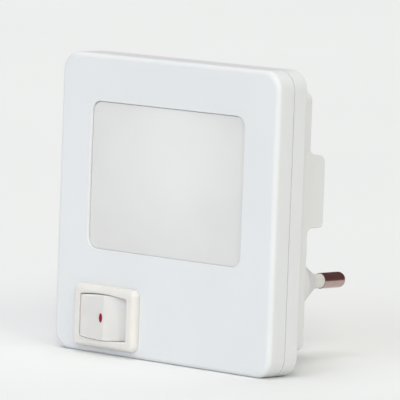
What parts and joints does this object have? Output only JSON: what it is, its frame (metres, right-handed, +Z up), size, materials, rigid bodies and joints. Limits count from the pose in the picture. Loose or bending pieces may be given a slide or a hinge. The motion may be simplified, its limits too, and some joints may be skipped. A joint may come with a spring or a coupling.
{
  "type": "plug-in night light",
  "caption": "Square plug-in LED night light with a frosted window, a rocker switch and two round insulated plug pins on its back.",
  "frame": {"origin": "midway between the two plug pins, on the shoulder plane of the plug neck", "axes": "+X right and +Z up as seen from the front, +Y back along the plug pins"},
  "size_m": [0.075, 0.0583, 0.075],
  "materials": {
    "cover_white": "fine moulded surface, soft sheen",
    "lens_frosted": "frosted, lets light through",
    "tray_white": "matt white reflector",
    "board_green": "solder resist on glass-fibre laminate",
    "led_white": "ceramic package with pale yellow phosphor",
    "capacitor_yellow": "glossy cast box",
    "capacitor_black": "shrink sleeve on an aluminium can",
    "diode_black": "moulded epoxy",
    "resistor_green": "flameproof lacquer",
    "resistor_blue": "metal-film lacquer",
    "switch_ivory": "polished nylon",
    "rocker_white": "polished nylon",
    "mark_red": "filled mark",
    "spring_steel": "drawn wire",
    "plunger_nylon": "natural nylon",
    "contact_brass": "stamped strip",
    "contact_silver": "silver alloy",
    "pin_nickel": "nickel-plated brass",
    "sleeve_white": "moulded insulation",
    "retainer_grey": "moulded",
    "screw_zinc": "zinc-plated steel",
    "solder_tin": "flowed tin solder",
    "phosphor_yellow": "silicone with phosphor",
    "lead_blue": "soft insulation",
    "lead_brown": "soft insulation"
  },
  "bodies": {
    "body": {"front_cover": "cover_white", "rear_cover": "cover_white", "window_lens": "lens_frosted", "light_tray": "tray_white", "led_board": "board_green", "leds": "led_white", "drop_capacitor": "capacitor_yellow", "smoothing_capacitor": "capacitor_black", "rectifier_diodes": "diode_black", "fusible_resistor": "resistor_green", "discharge_resistor": "resistor_blue", "switch_housing": "switch_ivory", "centre_terminal": "contact_brass", "end_terminal": "contact_brass", "plug_pin_left": "pin_nickel", "plug_pin_right": "pin_nickel", "pin_sleeve_left": "sleeve_white", "pin_sleeve_right": "sleeve_white", "pin_retainer": "retainer_grey", "retainer_screw": "screw_zinc", "cover_screws": "screw_zinc", "board_screws": "screw_zinc", "lead_pin_to_switch": "lead_brown", "lead_switch_to_board": "lead_brown", "lead_pin_to_board": "lead_blue"},
    "rocker": {"rocker": "rocker_white", "rocker_mark": "mark_red", "rocker_spring": "spring_steel", "spring_plunger": "plunger_nylon"},
    "contact": {"rocking_contact": "contact_brass", "contact_rivet": "contact_silver"}
  },
  "joints": [
    {"name": "rocker_tilt", "type": "hinge", "parent": "body", "child": "rocker", "pos_m": [-0.01805, -0.0355, -0.00945], "axis": [0, 0, -1], "range_deg": [0, 30]},
    {"name": "contact_tilt", "type": "hinge", "parent": "body", "child": "contact", "pos_m": [-0.01805, -0.03045, -0.00945], "axis": [0, 0, 1], "range_deg": [0, 10]}
  ],
  "couplings": [
    {"joint": "contact_tilt", "follows": "rocker_tilt", "ratio": 0.3333}
  ]
}
